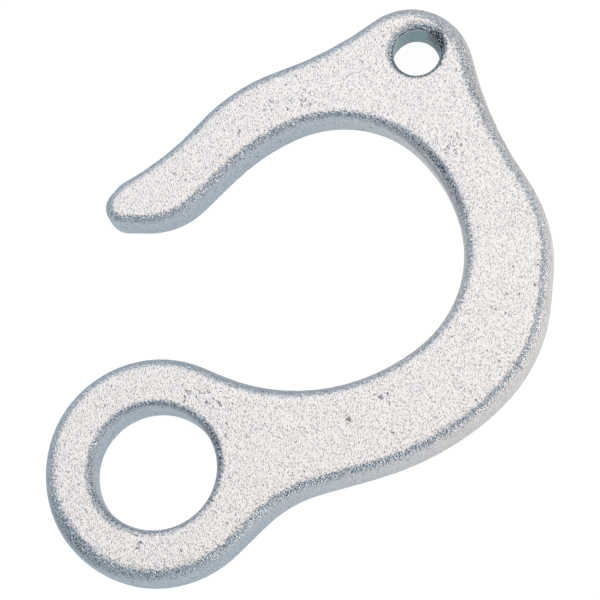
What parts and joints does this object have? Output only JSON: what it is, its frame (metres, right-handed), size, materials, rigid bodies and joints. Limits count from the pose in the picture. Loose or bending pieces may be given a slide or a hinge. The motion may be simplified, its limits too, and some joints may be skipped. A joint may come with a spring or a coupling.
{
  "type": "fifi hook",
  "caption": "Flat forged hook with an open throat and blunt nose, a large round eye at one end and a small drilled cord hole at the other.",
  "frame": {"origin": "on the plane of the rear face, under the middle of the hook's bounding box", "axes": "+Y from the eye's centre to the cord hole, +Z out of the front face, +X towards the hook's back, so the throat opens towards -X"},
  "size_m": [0.0552, 0.0792, 0.006],
  "materials": {
    "forged_aluminium": "forged and shot-blasted, satin with a fine grain"
  },
  "bodies": {
    "root": {"forged_hook": "forged_aluminium"}
  },
  "joints": []
}
